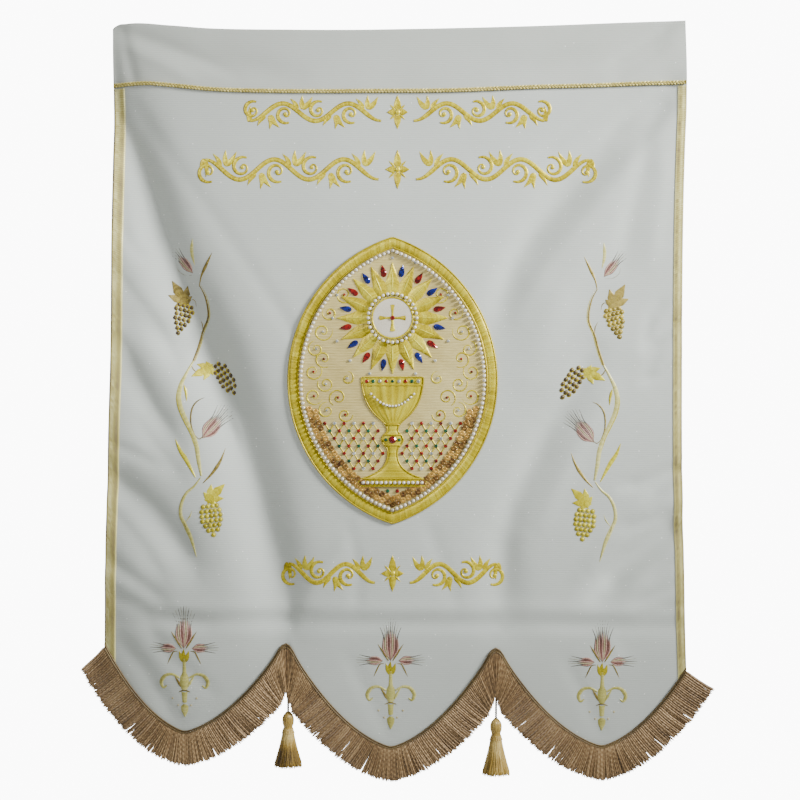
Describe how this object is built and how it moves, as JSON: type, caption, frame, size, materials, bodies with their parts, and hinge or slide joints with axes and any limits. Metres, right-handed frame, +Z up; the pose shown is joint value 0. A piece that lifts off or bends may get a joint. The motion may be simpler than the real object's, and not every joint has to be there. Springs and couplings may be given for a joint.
{
  "type": "fringed church banner with appliqued medallion",
  "caption": "Hanging banner of ribbed silver-grey cloth with a plain heading, gold braid and galloons, an appliqued medallion, a fringe round scalloped lappets, and tassels on cords.",
  "frame": {"origin": "middle of the top edge of the heading, in the middle of its thickness", "axes": "+X along the banner's width to the right as seen from the front, front faces -Y, +Z up"},
  "size_m": [0.8818, 0.0385, 1.0703],
  "materials": {
    "cloth": "fine horizontal rib, pale silver grey, satin sheen",
    "heading": "the same ribbed cloth, doubled",
    "braid": "gold gimp braid, dull metallic",
    "galloon": "woven pale gold galloon",
    "fringe": "twisted bullion, old gold",
    "cord": "twisted cord",
    "tassel": "silky thread, gold brown",
    "gold_stitch": "satin stitch in gold thread",
    "brocade": "cream brocade with gold scrolls",
    "cream": "cream satin"
  },
  "bodies": {
    "root": {"heading": "heading", "panel": "cloth", "top_braid": "braid", "galloon_left": "galloon", "galloon_right": "galloon", "fringe_left": "fringe", "fringe_middle": "fringe", "fringe_right": "fringe", "medallion_ground": "brocade", "medallion_border": "gold_stitch", "medallion_glory": "gold_stitch", "medallion_chalice": "gold_stitch", "medallion_host": "cream", "tassel_cord_left": "cord", "tassel_left": "tassel", "tassel_cord_right": "cord", "tassel_right": "tassel"}
  },
  "joints": []
}
